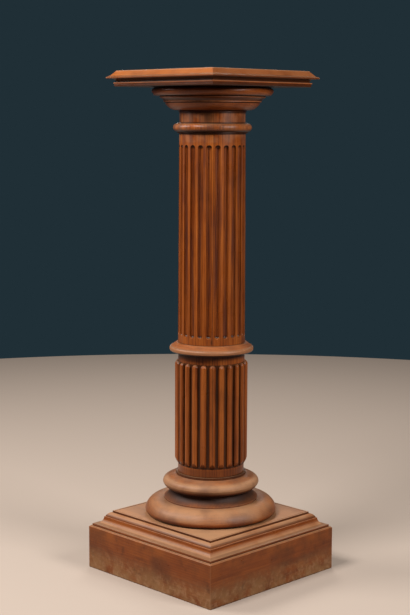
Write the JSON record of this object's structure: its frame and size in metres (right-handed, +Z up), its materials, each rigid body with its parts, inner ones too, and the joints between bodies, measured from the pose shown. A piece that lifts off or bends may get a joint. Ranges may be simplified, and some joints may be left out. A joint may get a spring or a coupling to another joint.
{
  "type": "pedestal column stand",
  "caption": "Tall wooden pedestal: a reeded and fluted round column between a square moulded plinth and a square moulded top, for standing a plant or vase on.",
  "frame": {"origin": "on the floor under the middle of the square plinth", "axes": "+Z up along the column; X and Y along the sides of the plinth and the top, with -Y the front"},
  "size_m": [0.385, 0.385, 1.1],
  "materials": {
    "walnut": "dark-stained walnut with a worn wax polish",
    "plain_wood": "unstained hardwood",
    "screw_steel": "plain steel"
  },
  "bodies": {
    "root": {"plinth_board_front": "walnut", "plinth_board_right": "walnut", "plinth_board_back": "walnut", "plinth_board_left": "walnut", "plinth_moulding_front": "walnut", "plinth_moulding_right": "walnut", "plinth_moulding_back": "walnut", "plinth_moulding_left": "walnut", "plinth_corner_block_front_right": "plain_wood", "plinth_corner_block_back_right": "plain_wood", "plinth_corner_block_back_left": "plain_wood", "plinth_corner_block_front_left": "plain_wood", "plinth_panel": "walnut", "lower_torus": "walnut", "scotia": "walnut", "upper_torus": "walnut", "reeded_drum_quarter_1": "walnut", "reeded_drum_quarter_2": "walnut", "reeded_drum_quarter_3": "walnut", "reeded_drum_quarter_4": "walnut", "middle_ring": "walnut", "fluted_shaft_quarter_1": "walnut", "fluted_shaft_quarter_2": "walnut", "fluted_shaft_quarter_3": "walnut", "fluted_shaft_quarter_4": "walnut", "capital": "walnut", "top_under_board": "walnut", "top_board": "walnut", "foot_tenon": "plain_wood", "middle_tenon": "plain_wood", "capital_tenon": "plain_wood", "base_screws": "screw_steel", "top_screws": "screw_steel"}
  },
  "joints": []
}
